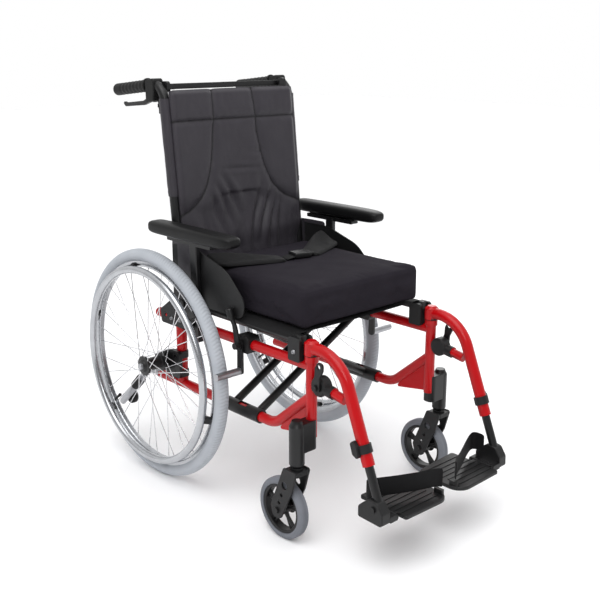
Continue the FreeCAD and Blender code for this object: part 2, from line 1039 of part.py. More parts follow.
def brace(side, rows, bolted):
    """Two arms from one lower rail up to the seat rail of the other side."""
    low_x = side * size.frame_half
    high_x = -side * size.frame_half
    middle = size.brace_middle_y
    seat_z = size.seat_rail_height
    half = size.sleeve_length * 0.5
    sleeve = cylinder((low_x, middle - half, lower_z), (0, 1, 0), size.sleeve_radius, size.sleeve_length)
    rail = rod((high_x, size.seat_rail_front, seat_z), (high_x, size.seat_rail_rear, seat_z), rail_r)
    arms = [
        rod((low_x, middle + y, lower_z), (high_x, middle + y, seat_z), size.arm_radius) for y in rows
    ]
    whole = fuse(sleeve, rail, *arms)
    bore = cylinder((low_x, middle - half - 1, lower_z), (0, 1, 0), rail_r + 0.4, size.sleeve_length + 2)
    window = box((low_x - 9, middle - 16, lower_z + 9), (low_x + 9, middle + 16, lower_z + 20))
    centre_z = (lower_z + seat_z) * 0.5
    if bolted:
        bolt = cylinder((0, middle - 59, centre_z), (0, 1, 0), 5, 118)
        heads = [cylinder((0, middle + y, centre_z), (0, 1, 0), 9, 6) for y in (-62, 56)]
        return fuse(cut(whole, bore, window), bolt, *heads)
    hole = cylinder((0, middle - 60, centre_z), (0, 1, 0), 5.3, 120)
    return cut(whole, bore, window, hole)


subpart("brace_a", brace(-1, (-45, 45), True))
subpart("brace_b", brace(1, (-21, 21), False))


def seat_sling():
    """The seat fabric between the two seat rails."""
    half = size.frame_half
    return padded(
        "top",
        [(-half, -505, 8), (half, -505, 8), (half, -97, 8), (-half, -97, 8)],
        3,
        (0, 0, size.seat_rail_height + rail_r + 0.6),
    )


subpart("seat_sling", seat_sling())


def cushion():
    half = size.cushion_half
    return padded(
        "top",
        [(-half, size.cushion_front, 24), (half, size.cushion_front, 24),
         (half, size.cushion_rear, 30), (-half, size.cushion_rear, 30)],
        size.cushion_top - size.cushion_base,
        (0, 0, size.cushion_base),
        edge=22,
    )


subpart("cushion", cushion())


def back_upholstery():
    """The back's fabric panel with a sleeve over each post."""
    lean = (HANDLE_CORNER[0] + 63) / (HANDLE_CORNER[1] - 440)

    def on_post(z):
        return -63 + (z - 440) * lean, z

    (low_y, low_z), (high_y, high_z) = on_post(505), on_post(998)
    half = size.post_half
    panel = padded(
        "side",
        [(low_y - 9, low_z), (low_y + 5, low_z), (high_y + 5, high_z), (high_y - 9, high_z)],
        2 * half - 30,
        (-half + 15, 0, 0),
    )
    sleeves = []
    bores = []
    for side in (-1, 1):
        start, end = on_post(745), on_post(970)
        sleeves.append(rod((side * half, *start), (side * half, *end), size.post_radius + 2.8))
        bores.append(
            rod((side * half, *on_post(700)), (side * half, *on_post(1000)), size.post_radius + 0.4)
        )
    link = padded(
        "side",
        [(on_post(745)[0] - 7, 745), (on_post(745)[0] + 4, 745), (on_post(970)[0] + 4, 970), (on_post(970)[0] - 7, 970)],
        2 * half,
        (-half, 0, 0),
    )
    return cut(fuse(panel, link, *sleeves), *bores)


subpart("back_upholstery", back_upholstery())


def lap_belt():
    """Webbing over the seat in a shallow V, with padded wings and a side-release buckle."""
    base = size.cushion_top + 0.8
    outer = size.cushion_half + 4
    straps = [
        box((-outer, -205, base), (-186, -160, base + 4)),
        box((186, -205, base), (outer, -160, base + 4)),
        box((-50, -276, base), (-8, -248, base + 4)),
    ]
    drops = [
        box((-outer - 2.5, -205, 502), (-outer, -160, base + 4)),
        box((outer, -205, 502), (outer + 2.5, -160, base + 4)),
    ]
    wings = [
        padded("top", points, 8, (0, 0, base), edge=3)
        for points in (
            [(-198, -215, 14), (-50, -285, 14), (-30, -225, 14), (-198, -143, 14)],
            [(36, -232, 14), (56, -290, 14), (198, -215, 14), (198, -143, 14)],
        )
    ]
    buckle = padded(
        "top",
        [(-14, -285, 8), (51, -285, 8), (51, -240, 8), (-14, -240, 8)],
        14,
        (0, 0, base),
        edge=4,
    )
    return fuse(buckle, *straps, *drops, *wings)


subpart("lap_belt", lap_belt())


# ---------------------------------------------------------------- anti-tipper

TIPPER_BEND = (113, 248)
TIPPER_END = (262, 107)


def on_tipper(y):
    slope = (TIPPER_END[1] - TIPPER_BEND[1]) / (TIPPER_END[0] - TIPPER_BEND[0])
    return y, TIPPER_BEND[1] + (y - TIPPER_BEND[0]) * slope


def anti_tipper():
    """The tube plugged into the right lower rail, with the wheel's pin."""
    bent = tube(plane, [(-8, lower_z), (*TIPPER_BEND, 45), TIPPER_END], size.tipper_radius)
    collar = rod((plane, *on_tipper(160)), (plane, *on_tipper(190)), 14)
    tip = ball((plane, *TIPPER_END), size.tipper_radius)
    stop = cylinder((plane, 56, lower_z), (0, 1, 0), 13, 8)
    pin = cylinder((plane, *on_tipper(246)), (1, 0, 0), 4, 36)
    head = cylinder((plane + 32, *on_tipper(246)), (1, 0, 0), 7, 4)
    return fuse(bent, collar, tip, stop, pin, head)


subpart("anti_tipper", anti_tipper())

subpart(
    "anti_tipper_wheel",
    turned(
        (plane + 12, *on_tipper(246)), (1, 0, 0),
        [(0, 4.4), (18, 4.4), (18, 16, 2), (17, size.tipper_wheel_radius, 4), (1, size.tipper_wheel_radius, 4), (0, 16, 2)],
    ),
)


# ---------------------------------------------------------------- checks and files

doc.recompute()

faults = []
for item in doc.Objects:
    if "Invalid" in item.State or "Error" in item.State:
        faults.append(f"{item.Name} ({item.Label}): {item.State}")
for item in subparts:
    if item.Shape.isNull() or not item.Shape.isValid() or not item.Shape.Solids:
        faults.append(f"{item.Label}: bad shape")
if faults:
    raise RuntimeError("; ".join(faults))

os.makedirs("parts", exist_ok=True)
for item in subparts:
    item.Shape.exportStep(os.path.join("parts", f"{item.Label}.step"))
whole = Part.makeCompound([item.Shape for item in subparts]).BoundBox
print(f"{len(subparts)} sub-parts")
print(f"x {whole.XMin:.1f} to {whole.XMax:.1f}")
print(f"y {whole.YMin:.1f} to {whole.YMax:.1f}")
print(f"z {whole.ZMin:.1f} to {whole.ZMax:.1f}")
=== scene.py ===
# %% [markdown]
# # A folding wheelchair
# The frame, wheels and fittings arrive as finished solids. Here they get their paint, metal,
# rubber and plastic, and the soft goods are made: cushion, quilted back, belt and straps.
# Everything is in metres: +Z is up, -Y is the way the sitter faces, +X is the sitter's left.

# %% Load the frame
import bpy, bmesh, math
from mathutils import Matrix, Vector, noise


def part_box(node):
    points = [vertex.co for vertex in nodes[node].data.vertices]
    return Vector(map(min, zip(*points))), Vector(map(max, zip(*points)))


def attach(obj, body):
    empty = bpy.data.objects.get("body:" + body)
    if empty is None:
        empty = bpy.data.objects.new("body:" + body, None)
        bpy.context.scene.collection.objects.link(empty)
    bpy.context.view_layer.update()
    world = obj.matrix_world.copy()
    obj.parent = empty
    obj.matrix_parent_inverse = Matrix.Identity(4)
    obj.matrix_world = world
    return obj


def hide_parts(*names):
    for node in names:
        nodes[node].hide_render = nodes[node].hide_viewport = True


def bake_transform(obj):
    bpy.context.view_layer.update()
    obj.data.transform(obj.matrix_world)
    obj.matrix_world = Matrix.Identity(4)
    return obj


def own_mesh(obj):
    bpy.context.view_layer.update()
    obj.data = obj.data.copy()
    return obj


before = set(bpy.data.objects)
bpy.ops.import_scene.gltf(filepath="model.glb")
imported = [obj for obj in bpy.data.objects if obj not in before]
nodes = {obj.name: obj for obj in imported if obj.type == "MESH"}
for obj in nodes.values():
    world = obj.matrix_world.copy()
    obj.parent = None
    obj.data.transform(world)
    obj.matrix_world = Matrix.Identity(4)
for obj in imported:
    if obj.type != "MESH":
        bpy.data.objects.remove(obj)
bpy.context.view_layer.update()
scene = bpy.context.scene
SIDES = {"right": -1, "left": 1}

# %% [markdown]
# The rear axle is the handiest reference on a wheelchair: every height and reach is quoted
# from it. One small function gives the middle of any solid's box.

# %% Reference points
def centre(node):
    low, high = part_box(node)
    return [(a + b) / 2 for a, b in zip(low, high)]


AXLE = Vector((0, *centre("right_hub")[1:]))
HALF = -centre("right_side_frame")[0]
print("rear axle at y", round(AXLE.y, 4), "z", round(AXLE.z, 4), "frame half width", round(HALF, 4))

# %% [markdown]
# ## Camera, light and floor
# A long lens from the front right, a little above the armrests, shows the wheel, the brake and
# both footrests at once. Big soft lamps and a hazy sun give the black parts readable edges.

# %% Camera
camera_data = bpy.data.cameras.new("Camera")
camera_data.sensor_width = 36
camera_data.lens = 55.32
camera = bpy.data.objects.new("Camera", camera_data)
scene.collection.objects.link(camera)
AZIMUTH, ELEVATION, DISTANCE = math.radians(-42.713), math.radians(15.474), 2.35894
aim = Vector((0, AXLE.y - 0.27753, 0.48379))
back = Vector((
    math.sin(AZIMUTH) * math.cos(ELEVATION),
    -math.cos(AZIMUTH) * math.cos(ELEVATION),
    math.sin(ELEVATION),
))
turn = back.to_track_quat("Z", "Y").to_matrix().to_4x4()
camera.matrix_world = Matrix.Translation(aim + back * DISTANCE) @ turn
scene.camera = camera

# %% Lamps
def lamp(name, place, power, size):
    data = bpy.data.lights.new(name, "AREA")
    data.energy, data.size = power, size
    item = bpy.data.objects.new(name, data)
    place = Vector(place)
    turn = (place - Vector((0, 0, 0.45))).to_track_quat("Z", "Y")
    item.matrix_world = Matrix.Translation(place) @ turn.to_matrix().to_4x4()
    scene.collection.objects.link(item)


lamp("Key", (-1.9, -2.3, 2.3), 15, 1.1)
lamp("Top", (-0.3, -0.5, 3.0), 20, 2.4)
lamp("Rim", (2.4, 1.4, 1.7), 16, 1.4)
sun_data = bpy.data.lights.new("Window", "SUN")
sun_data.energy, sun_data.angle = 1.15, math.radians(50)
sun = bpy.data.objects.new("Window", sun_data)
sun.matrix_world = Vector((-0.55, -0.25, 1.0)).to_track_quat("Z", "Y").to_matrix().to_4x4()
scene.collection.objects.link(sun)

# %% [markdown]
# The room and every material are graphs of nodes. One function adds a node together with its
# settings and its links, so that each recipe reads as a list.

# %% Node helper
def add_node(tree, kind, links=None, **settings):
    node = tree.nodes.new(kind)
    for name, value in settings.items():
        setattr(node, name, value)
    for name, value in (links or {}).items():
        if isinstance(value, bpy.types.NodeSocket):
            tree.links.new(value, node.inputs[name])
        else:
            node.inputs[name].default_value = value
    return node

# %% [markdown]
# The room is white where the camera looks and darker behind it, as a studio is. Metal and
# gloss paint need that darker side: without it they have nothing to reflect but white.

# %% A room with a dark side
world = bpy.data.worlds.new("Studio")
world.use_nodes = True
tree = world.node_tree
tree.nodes.clear()
BRIGHT_WAY, WHITE = (0.60, 0.66, 0.45), (1, 1, 1, 1)
way = add_node(tree, "ShaderNodeTexCoord").outputs["Generated"]
toward = add_node(tree, "ShaderNodeVectorMath", {0: way, 1: BRIGHT_WAY}, operation="DOT_PRODUCT")
level = add_node(tree, "ShaderNodeMapRange", {
    "Value": toward.outputs["Value"],
    "From Min": -0.7, "From Max": 0.5, "To Min": 0.30, "To Max": 0.92,
})
lit = add_node(tree, "ShaderNodeBackground", {"Color": WHITE, "Strength": level.outputs[0]})
seen = add_node(tree, "ShaderNodeBackground", {"Color": WHITE, "Strength": 1.0})
ray = add_node(tree, "ShaderNodeLightPath").outputs["Is Camera Ray"]
both = add_node(tree, "ShaderNodeMixShader", {0: ray, 1: lit.outputs[0], 2: seen.outputs[0]})
add_node(tree, "ShaderNodeOutputWorld", {"Surface": both.outputs[0]})
scene.world = world
scene.view_settings.view_transform = "Standard"
print("camera", round(DISTANCE, 2), "m away")

# %% [markdown]
# ## Materials
# Each one starts from what the real surface is and how it was made. Colours are written as
# sRGB hex, as on a paint chart, and one function turns them into the linear light values.

# %% Colour and material helpers
def linear(chip):
    parts = [int(chip[i:i + 2], 16) / 255 for i in (0, 2, 4)]
    return tuple(c / 12.92 if c <= 0.04045 else ((c + 0.055) / 1.055) ** 2.4 for c in parts) + (1,)


def begin(name, **sockets):
    """A material, its node tree, its shader and its object coordinates."""
    material = bpy.data.materials.new(name)
    material.use_nodes = True
    tree = material.node_tree
    shader = tree.nodes["Principled BSDF"]
    for socket, value in sockets.items():
        shader.inputs[socket.replace("_", " ")].default_value = value
    return material, tree, shader, add_node(tree, "ShaderNodeTexCoord").outputs["Object"]

# %% [markdown]
# ### Two tones and a bump
# Most real surfaces differ from a flat colour in two ways: the colour drifts a little, and the
# surface has a grain. This helper mixes two close tones with a slow noise and adds a fine bump.

# %% Tone and grain
def tone(tree, shader, place, light, dark, patch_mm):
    drift = add_node(tree, "ShaderNodeTexNoise", {"Vector": place, "Scale": 1000 / patch_mm, "Detail": 3.0})
    pair = {0: drift.outputs["Fac"], 6: linear(dark), 7: linear(light)}
    mix = add_node(tree, "ShaderNodeMix", pair, data_type="RGBA")
    tree.links.new(mix.outputs[2], shader.inputs["Base Color"])
    return mix.outputs[2]


def grain(tree, shader, height, depth_mm, strength):
    relief = {"Height": height, "Distance": depth_mm / 1000, "Strength": strength}
    bump = add_node(tree, "ShaderNodeBump", relief)
    tree.links.new(bump.outputs["Normal"], shader.inputs["Normal"])


def speckle(tree, place, grain_mm, detail=2.0):
    fine = {"Vector": place, "Scale": 1000 / grain_mm, "Detail": detail}
    return add_node(tree, "ShaderNodeTexNoise", fine).outputs["Fac"]

# %% [markdown]
# ### Enamel, powder coat, nylon and rubber
# The red frame is gloss enamel over primed tube: a deep colour under a clear coat, with the
# faint orange peel that spraying leaves. The black tubes are powder coated, which is duller
# and pebbled. The clamps, guards and casters are glass-filled nylon with a moulded grain.

# %% Paint
def red_enamel():
    material, tree, shader, place = begin(
        "gloss_red_enamel", Roughness=0.4, Coat_Weight=0.35, Coat_Roughness=0.07, Specular_IOR_Level=0.15)
    tone(tree, shader, place, "BE0510", "A80309", 60)
    grain(tree, shader, speckle(tree, place, 3.0), 0.1, 0.12)
    return material


def black_powder_coat():
    material, tree, shader, place = begin("black_powder_coat", Roughness=0.36, Specular_IOR_Level=0.4)
    tone(tree, shader, place, "161617", "0E0E0F", 25)
    grain(tree, shader, speckle(tree, place, 1.2), 0.12, 0.35)
    return material

# %% Moulded parts
def moulded_nylon():
    material, tree, shader, place = begin("glass_filled_nylon", Roughness=0.48, Specular_IOR_Level=0.35)
    tone(tree, shader, place, "19191A", "111112", 14)
    grain(tree, shader, speckle(tree, place, 0.9, 4.0), 0.15, 0.5)
    return material


def grip_rubber():
    material, tree, shader, place = begin("ribbed_grip_rubber", Roughness=0.6, Specular_IOR_Level=0.3)
    tone(tree, shader, place, "171717", "0F0F0F", 10)
    grain(tree, shader, speckle(tree, place, 0.7), 0.1, 0.4)
    return material


def pad_skin():
    material, tree, shader, place = begin("integral_skin_foam", Roughness=0.46, Specular_IOR_Level=0.22)
    tone(tree, shader, place, "121213", "0B0B0B", 30)
    cells = add_node(tree, "ShaderNodeTexVoronoi", {"Vector": place, "Scale": 1000 / 1.6})
    grain(tree, shader, cells.outputs["Distance"], 0.2, 0.4)
    return material

# %% [markdown]
# ### Metal
# The rims and push rings are anodised aluminium, spun and brushed round their length, so on the
# real rims the scratches follow the circle; here the grain is a fine even speckle. The spokes are polished
# stainless wire.

# %% Bare metal
def anodised_rim():
    material, tree, shader, place = begin("anodised_aluminium", Metallic=1.0, Roughness=0.26)
    tone(tree, shader, place, "C6C8CB", "A9ABAF", 30)
    grain(tree, shader, speckle(tree, place, 2.0), 0.05, 0.2)
    return material


def polished_steel():
    material, tree, shader, place = begin("polished_steel_wire", Metallic=1.0, Roughness=0.2)
    tone(tree, shader, place, "E6E6E8", "CFCFD2", 12)
    return material


def satin_steel():
    material, tree, shader, place = begin("zinc_plated_steel", Metallic=1.0, Roughness=0.36)
    tone(tree, shader, place, "B9BABD", "96979B", 18)
    grain(tree, shader, speckle(tree, place, 1.0), 0.08, 0.3)
    return material

# %% [markdown]
# ### Tyres
# Grey non-marking tyres have fine slanted tread blocks that fade into a smooth sidewall. The
# pattern is worked out from the angle round the axle, so it runs true all the way round. The
# colour is darkened where the tread is low: painted shade in the grooves between the blocks.

# %% Tread
def grey_tyre(name, light, dark, middle, half, block_mm, radius):
    material, tree, shader, place = begin(name, Roughness=0.72, Specular_IOR_Level=0.3)
    base = tone(tree, shader, place, light, dark, 35)
    parts = add_node(tree, "ShaderNodeSeparateXYZ", {"Vector": place})
    y = add_node(tree, "ShaderNodeMath", {0: parts.outputs["Y"], 1: middle[0]}, operation="SUBTRACT").outputs[0]
    z = add_node(tree, "ShaderNodeMath", {0: parts.outputs["Z"], 1: middle[1]}, operation="SUBTRACT").outputs[0]
    turn = add_node(tree, "ShaderNodeMath", {0: y, 1: z}, operation="ARCTAN2").outputs[0]
    count = round(2 * math.pi * radius * 1000 / block_mm)
    steps = add_node(tree, "ShaderNodeMath", {0: turn, 1: float(count)}, operation="MULTIPLY").outputs[0]
    across = add_node(tree, "ShaderNodeMath", {0: parts.outputs["X"]}, operation="ABSOLUTE").outputs[0]
    across = add_node(tree, "ShaderNodeMath", {0: across, 1: half}, operation="SUBTRACT").outputs[0]
    across = add_node(tree, "ShaderNodeMath", {0: across}, operation="ABSOLUTE").outputs[0]
    lean = {0: across, 1: 260.0, 2: steps}
    slant = add_node(tree, "ShaderNodeMath", lean, operation="MULTIPLY_ADD").outputs[0]
    blocks = add_node(tree, "ShaderNodeMath", {0: slant}, operation="SINE").outputs[0]
    crown = add_node(tree, "ShaderNodeMapRange", {
        "Value": across, "From Min": 0.010, "From Max": 0.015, "To Min": 1.0, "To Max": 0.0})
    tread = add_node(tree, "ShaderNodeMath", {0: blocks, 1: crown.outputs[0]}, operation="MULTIPLY").outputs[0]
    # Painted shade: the tyre colour is multiplied down to 0.84 where the tread is lowest, standing in for
    # shadow in the grooves.
    painted_groove_shade = add_node(tree, "ShaderNodeMapRange", {
        "Value": tread, "From Min": -1.0, "From Max": 0.3, "To Min": 0.84, "To Max": 1.0})
    both = {0: 1.0, 6: base, 7: painted_groove_shade.outputs[0]}
    shade = add_node(tree, "ShaderNodeMix", both, data_type="RGBA", blend_type="MULTIPLY")
    tree.links.new(shade.outputs[2], shader.inputs["Base Color"])
    grain(tree, shader, tread, 0.5, 0.5)
    return material

# %% [markdown]
# ### Cloth
# Three cloths are used: a coated nylon on the back, a smooth stretch cover on the cushion and
# woven webbing for the belt and straps. Real threads are a fraction of a millimetre, too fine
# to show, so each weave is drawn at two to three millimetres. A point attribute called "seam"
# darkens the cloth along the seams: painted shade standing in for shadow in the seam grooves.

# %% Woven cloth
def woven(name, light, dark, thread_mm, across, up, **sockets):
    """A plain weave: two sets of ribs at right angles, along two of the object's axes."""
    material, tree, shader, place = begin(name, **sockets)
    base = tone(tree, shader, place, light, dark, 45)
    # Painted shade: the "seam" attribute mixes the colour toward near black along the seams, standing in for
    # shadow in the seam grooves.
    seam = add_node(tree, "ShaderNodeAttribute", attribute_name="seam").outputs["Fac"]
    shade = add_node(tree, "ShaderNodeMix", {0: seam, 6: base, 7: linear("050506")}, data_type="RGBA")
    tree.links.new(shade.outputs[2], shader.inputs["Base Color"])
    parts = add_node(tree, "ShaderNodeSeparateXYZ", {"Vector": place})
    pitch = 2 * math.pi * 1000 / thread_mm
    ribs = []
    for axis in (across, up):
        turn = add_node(tree, "ShaderNodeMath", {0: parts.outputs[axis], 1: pitch}, operation="MULTIPLY")
        ribs.append(add_node(tree, "ShaderNodeMath", {0: turn.outputs[0]}, operation="SINE").outputs[0])
    weave = add_node(tree, "ShaderNodeMath", {0: ribs[0], 1: ribs[1]}, operation="MULTIPLY").outputs[0]
    fuzz = speckle(tree, place, 6.0, 5.0)
    height = add_node(tree, "ShaderNodeMath", {0: weave, 1: 0.35, 2: fuzz}, operation="MULTIPLY_ADD").outputs[0]
    grain(tree, shader, height, 0.5, 0.35)
    return material


TYRE, CASTER = centre("right_tyre"), centre("right_caster_tyre")
MATERIALS = {
    "enamel": red_enamel(),
    "powder": black_powder_coat(),
    "nylon": moulded_nylon(),
    "rubber": grip_rubber(),
    "skin": pad_skin(),
    "alloy": anodised_rim(),
    "steel": polished_steel(),
    "zinc": satin_steel(),
    "tyre": grey_tyre("grey_tyre_rubber", "B9BDC3", "ABB0B7", AXLE[1:], -TYRE[0], 9, 0.3),
    "caster": grey_tyre("grey_caster_rubber", "7B7E85", "6A6D74", CASTER[1:], -CASTER[0], 400, 0.07),
    "back": woven(
        "coated_nylon_cloth", "37343A", "2E2B31", 2.4, "X", "Z",
        Roughness=0.46, Specular_IOR_Level=0.32, Sheen_Weight=0.04),
    "cover": woven(
        "stretch_cover_cloth", "29262C", "211E24", 2.2, "X", "Y",
        Roughness=0.85, Specular_IOR_Level=0.07),
    "webbing": woven(
        "woven_webbing", "141315", "0C0C0D", 2.6, "X", "Y",
        Roughness=0.7, Specular_IOR_Level=0.2, Sheen_Weight=0.03),
}
print(len(MATERIALS), "materials")

# %% [markdown]
# ## Finishing the solids
# Every solid of the frame gets its finish by name. A solid that is really two finishes, such as
# the silver push ring with its black tabs, has its faces sorted by where they lie.

# %% Finish by name
FINISH = {
    "side_frame": "enamel", "caster_housing": "powder", "axle_plate": "powder", "rail_brackets": "nylon",
    "back_post": "powder", "handle_grip": "rubber", "hand_lever": "powder", "tyre": "tyre", "rim": "alloy",
    "spokes": "steel", "hub": "powder", "handrim": "alloy", "caster_fork": "nylon", "caster_wheel": "nylon",
    "caster_tyre": "caster", "hanger": "enamel", "release_lever": "nylon", "footrest_tube": "powder",
    "footplate": "nylon", "brake_lever": "powder", "brake_shoe": "zinc", "armrest_post": "powder",
    "side_guard": "nylon", "back_bar": "powder",
}
ALONE = {"brace_a": "powder", "brace_b": "powder", "anti_tipper": "zinc", "anti_tipper_wheel": "rubber"}


def dress(node, *finishes, choose=None):
    mesh = nodes[node].data
    mesh.materials.clear()
    for finish in finishes:
        mesh.materials.append(MATERIALS[finish])
    if choose:
        for face in mesh.polygons:
            face.material_index = choose(face.center)


for side in SIDES:
    for part, finish in FINISH.items():
        dress(f"{side}_{part}", finish)
for part, finish in ALONE.items():
    dress(part, finish)

# %% [markdown]
# Sorting rules. The tabs stand inboard of the push ring. On the hanger the latch, its sleeve and
# the clip are black plastic over red tube. The hinge block at the foot is plastic on a coated
# tube. The brake's roller bar is bare steel outboard of the frame and coated inboard of it, and
# the anti-tipper has a black collar.

# %% Finish by place
def beyond(limit):
    return lambda point: int(abs(point.x) < limit)


def hanger_zone(point):
    y, z = point.y - AXLE.y, point.z
    latch = y > -0.6125 and z < 0.412
    clip = 0.25 < z < 0.305 and y > -0.73
    run_y = -0.719 + (z - 0.244) * (-38 / -94)
    proud = math.hypot(abs(point.x) - HALF, (y - run_y) * math.cos(math.radians(22))) > 0.0142
    pivot = y > -0.5575 and z < 0.4535
    return int(latch or pivot or (clip and proud))


for side in SIDES:
    dress(f"{side}_handrim", "alloy", "nylon", choose=beyond(0.2872))
    dress(f"{side}_hanger", "enamel", "nylon", choose=hanger_zone)
    dress(f"{side}_footrest_tube", "powder", "nylon", choose=lambda p: int(p.z < 0.178))
    dress(f"{side}_hub", "powder", "zinc", choose=lambda p: int(abs(p.x) < 0.240 or abs(p.x) > 0.3061))
    dress(f"{side}_brake_shoe", "zinc", "powder", choose=beyond(0.246))
dress("anti_tipper", "zinc", "nylon", choose=lambda p: int(0.4 < p.y < 0.437))

# %% [markdown]
# ## Making new pieces
# Each new piece is a small bmesh, shaped by operators, then written to a mesh whose points are
# already in place. It rides on the body it is fixed to and names its finish.

# %% From bmesh to piece
def at(x, y, z):
    """A point from millimetres: across, behind the rear axle, above the floor."""
    return Vector((x / 1000, AXLE.y + y / 1000, z / 1000))


def make(name, bm, finish, smooth=38):
    bmesh.ops.remove_doubles(bm, verts=bm.verts, dist=1e-6)
    bmesh.ops.recalc_face_normals(bm, faces=bm.faces)
    mesh = bpy.data.meshes.new(name)
    bm.to_mesh(mesh)
    bm.free()
    mesh.materials.append(MATERIALS[finish])
    mesh.polygons.foreach_set("use_smooth", [True] * len(mesh.polygons))
    mesh.set_sharp_from_angle(angle=math.radians(smooth))
    piece = bpy.data.objects.new(name, mesh)
    scene.collection.objects.link(piece)
    return piece


def fit(piece, body, slot, *stands_for):
    if body:
        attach(piece, body)
    if stands_for:
        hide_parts(*stands_for)
    print(piece.name, len(piece.data.polygons), "faces", "on", body)


def ease(value, start, end):
    share = min(1, max(0, (value - start) / (end - start)))
    return share * share * (3 - 2 * share)

# %% [markdown]
# ## Air in a cushion
# A cushion's cover is cut smaller than its foam, so the foam pushes it out between the seams.
# The same happens in a cloth simulation with pressure inside. The shape is first remeshed into
# small even squares, the cloth runs for twenty frames, and no point may move further than a cap.

# %% Inflate
def inflate(piece, voxel, cap, floor):
    remesh = piece.modifiers.new("Even squares", "REMESH")
    remesh.mode, remesh.voxel_size = "VOXEL", voxel
    view = bpy.context.evaluated_depsgraph_get()
    even = bpy.data.meshes.new_from_object(piece.evaluated_get(view))
    piece.modifiers.clear()
    piece.data = even
    start = [v.co.copy() for v in even.vertices]
    cloth = piece.modifiers.new("Air", "CLOTH")
    cloth.settings.use_pressure = True
    cloth.settings.uniform_pressure_force = 4
    cloth.settings.effector_weights.gravity = 0
    for step in range(1, 21):
        scene.frame_set(step)
    blown = piece.evaluated_get(bpy.context.evaluated_depsgraph_get()).to_mesh()
    ends = [v.co.copy() for v in blown.vertices]
    piece.modifiers.clear()
    scene.frame_set(1)
    for vertex, before, after in zip(even.vertices, start, ends):
        move = after - before
        vertex.co = before + move * min(1, cap / max(move.length, 1e-9))
        vertex.co.z = max(vertex.co.z, floor)
    even.polygons.foreach_set("use_smooth", [True] * len(even.polygons))
    print(piece.name, "inflated,", len(even.vertices), "points")


def refine(piece, levels=1):
    finer = piece.modifiers.new("Smooth", "SUBSURF")
    finer.levels = finer.render_levels = levels

# %% [markdown]
# ## The seat cushion
# A block of foam in a stretch cover, boxed with a side panel. The block starts a little small,
# swells in the cloth step, then gets what sewing and use give it: a seam round the top and down
# the corners, a slight crown, and long soft pulls running forward from under the belt.

# %% Cushion block
LOW, HIGH = at(-201, -506, 495.2), at(201, -79, 582)
bm = bmesh.new()
bmesh.ops.create_cube(bm, size=1)
bmesh.ops.scale(bm, verts=bm.verts, vec=HIGH - LOW)
bmesh.ops.translate(bm, verts=bm.verts, vec=(HIGH + LOW) / 2)
upright = [e for e in bm.edges if abs(e.verts[0].co.z - e.verts[1].co.z) > 0.05]
bmesh.ops.bevel(bm, geom=upright, offset=0.013, segments=4, profile=0.5, affect="EDGES", material=-1)
rims = [e for e in bm.edges if abs(e.verts[0].co.z - e.verts[1].co.z) < 1e-5]
bmesh.ops.bevel(bm, geom=rims, offset=0.011, segments=4, profile=0.5, affect="EDGES", material=-1)
cushion = make("seat_cushion", bm, "cover", 60)
inflate(cushion, 0.005, 0.0045, at(0, 0, 495).z)

# %% Seams, crown and pulls
def groove(distance, width, depth):
    return -depth * math.exp(-((distance / width) ** 2))


middle = (LOW + HIGH) / 2
reach = (HIGH - LOW) / 2
for vertex in cushion.data.vertices:
    p = vertex.co
    across, along = (p.x - middle.x) / reach.x, (p.y - middle.y) / reach.y
    top = ease(p.z, HIGH.z - 0.02, HIGH.z)
    crown = 0.005 * max(0, 1 - across ** 2) * max(0, 1 - along ** 2)
    pull = noise.noise(Vector((p.x * 17 + p.y * 9, p.y * 3.2 - p.x * 1.5, 2.0)))
    fan = noise.noise(Vector((p.x * 9 - p.y * 16, p.x * 4, 7.0)))
    p.z += top * (crown + 0.0016 * pull * ease(-along, -0.6, 0.4) + 0.0009 * fan)
    side = Vector((p.x - middle.x, p.y - middle.y, 0))
    edge = ease(max(abs(across), abs(along)), 0.9, 1.0)
    sag = 0.0014 * noise.noise(Vector((p.x * 6, p.y * 6, p.z * 9)))
    seam = groove(p.z - HIGH.z + 0.007, 0.0028, 0.0016)
    past_x, past_y = abs(p.x - middle.x) - reach.x, abs(p.y - middle.y) - reach.y
    corner = groove(math.hypot(past_x + 0.004, past_y + 0.004), 0.006, 0.0018)
    p += side.normalized() * edge * ((1 - top) * sag + seam + corner)
refine(cushion)
fit(cushion, None, "seat_fabric", "cushion")
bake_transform(cushion)

# %% [markdown]
# ## The sling under it
# A sheet of nylon is wrapped over both seat rails and pulled tight. A strip is the simplest way
# to make it: an edge is extruded from point to point, then given its thickness.

# %% Strips of cloth
def strip(name, path, across, thickness, finish, levels=2):
    """A flat band: the edge across is carried along the path."""
    bm = bmesh.new()
    ends = [bm.verts.new(path[0] - across / 2), bm.verts.new(path[0] + across / 2)]
    edge = bm.edges.new(ends)
    for before, after in zip(path, path[1:]):
        made = bmesh.ops.extrude_edge_only(bm, edges=[edge])["geom"]
        edge = next(item for item in made if isinstance(item, bmesh.types.BMEdge))
        bmesh.ops.translate(bm, verts=edge.verts[:], vec=after - before)
    way = across.normalized()
    long_edges = [e for e in bm.edges if abs((e.verts[0].co - e.verts[1].co).normalized().dot(way)) > 0.99]
    bmesh.ops.subdivide_edges(bm, edges=long_edges, cuts=4, use_grid_fill=True)
    bmesh.ops.recalc_face_normals(bm, faces=bm.faces)
    bmesh.ops.solidify(bm, geom=bm.faces, thickness=thickness)
    piece = make(name, bm, finish, 60)
    refine(piece, levels)
    return piece


half = [(0, 489), (90, 489.5), (188, 491.4), (207, 491.4), (219, 486), (222, 478)]
path = [at(-x, -301, z) for x, z in half[:0:-1]] + [at(x, -301, z) for x, z in half]
sling = strip("seat_sling_cloth", path, Vector((0, 0.408, 0)), 0.0016, "webbing")
fit(sling, None, "seat_fabric", "seat_sling")
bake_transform(sling)

# %% [markdown]
# ## The quilted back
# One padded panel hangs between two posts. A straight seam runs across near the top, and two
# more sweep down and out like a rib cage. Between the seams the wadding stands proud. Below
# them the cloth is slack, so it falls in creases from the seams towards the middle.
# A fine grid carries all of this as depth, point by point, and is then given its thickness.

